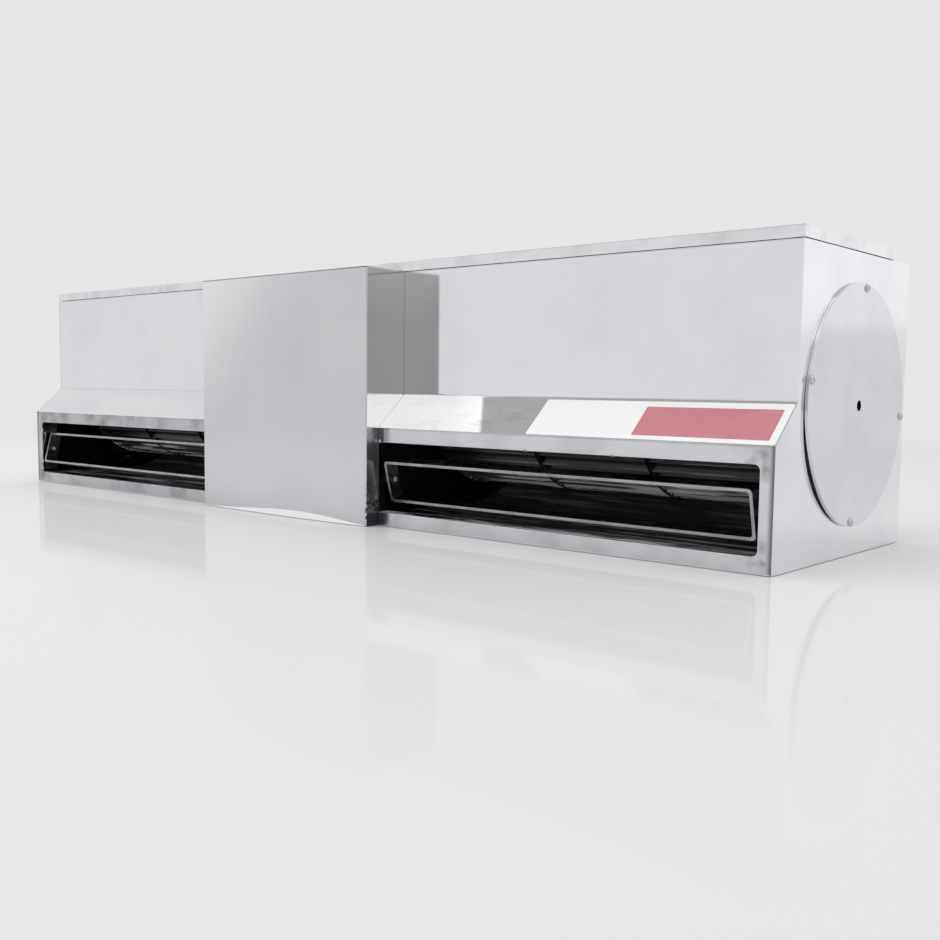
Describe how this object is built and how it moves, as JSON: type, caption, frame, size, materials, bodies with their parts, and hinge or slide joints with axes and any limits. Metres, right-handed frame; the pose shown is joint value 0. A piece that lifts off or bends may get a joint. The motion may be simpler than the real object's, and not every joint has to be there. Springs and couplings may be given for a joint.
{
  "type": "air curtain",
  "caption": "Over-door air curtain with a central motor cover, long drum impellers, tilting vanes in its nozzles and a flat intake lid.",
  "frame": {"origin": "centre of the wall-mounting holes, on the wall face", "axes": "+X along the length, +Y away from the nozzles, +Z from the wall face to the intake lid"},
  "size_m": [1.2308, 0.324, 0.2919],
  "materials": {
    "stainless": "polished stainless sheet",
    "panel_steel": "satin stainless sheet",
    "galvanised": "galvanised sheet",
    "plain_steel": "turned steel",
    "impeller_alu": "mill aluminium",
    "motor_alu": "painted casting",
    "laminations": "varnished laminations",
    "copper": "varnished copper wire",
    "black_steel": "black paint",
    "zinc": "zinc plated",
    "rubber": "matt rubber",
    "white_plastic": "nylon",
    "black_plastic": "moulded nylon",
    "grey_plastic": "moulded case"
  },
  "bodies": {
    "casing": {"wall_sheet": "panel_steel", "back_sheet": "panel_steel", "top_sheet": "panel_steel", "joining_angles": "galvanised", "front_panel_left": "stainless", "front_panel_right": "stainless", "nozzle_frame_left": "stainless", "nozzle_frame_right": "stainless", "end_panel_left": "panel_steel", "end_panel_right": "panel_steel", "end_cover_left": "panel_steel", "end_cover_right": "panel_steel", "end_cover_gaskets": "rubber", "end_cover_screws": "zinc", "bearing_cups": "galvanised", "bearing_rubbers": "rubber", "outer_bearings": "plain_steel", "intake_lid": "panel_steel", "lid_standoffs": "black_plastic", "lid_screws": "zinc", "motor_cover": "stainless", "motor_cover_screws": "zinc", "bulkhead_left": "galvanised", "bulkhead_right": "galvanised", "scroll_left": "galvanised", "scroll_right": "galvanised", "cutoff_left": "galvanised", "cutoff_right": "galvanised", "mount_nuts": "zinc", "vane_pivots_left": "zinc", "vane_pivots_right": "zinc", "vane_spacers": "white_plastic", "motor_housing": "motor_alu", "stator_core": "laminations", "motor_windings": "copper", "motor_shields": "motor_alu", "shield_screws": "zinc", "motor_bearings": "plain_steel", "motor_rubber_rings": "rubber", "motor_cradle": "black_steel", "cradle_straps": "zinc", "strap_screws": "zinc", "cradle_studs": "zinc", "cradle_nuts": "zinc", "run_capacitor": "grey_plastic", "capacitor_strap": "zinc", "terminal_block": "white_plastic", "cable_gland": "black_plastic", "gland_locknut": "black_plastic"},
    "rotor": {"motor_shaft": "plain_steel", "motor_rotor": "laminations", "impeller_left": "impeller_alu", "impeller_right": "impeller_alu", "drive_disc_left": "black_steel", "drive_disc_right": "black_steel", "end_disc_left": "black_steel", "end_disc_right": "black_steel", "stub_shafts": "plain_steel"},
    "left_vane": {"vane_left": "stainless"},
    "right_vane": {"vane_right": "stainless"}
  },
  "joints": [
    {"name": "left_vane_tilt", "type": "hinge", "parent": "casing", "child": "left_vane", "pos_m": [-0.375, -0.1495, 0.0506], "axis": [1, 0, 0], "range_deg": [-12, 38]},
    {"name": "right_vane_tilt", "type": "hinge", "parent": "casing", "child": "right_vane", "pos_m": [0.375, -0.1495, 0.0506], "axis": [1, 0, 0], "range_deg": [-38, 12]},
    {"name": "rotor_spin", "type": "hinge", "parent": "casing", "child": "rotor", "pos_m": [0, 0, 0.139], "axis": [1, 0, 0], "continuous": true}
  ]
}
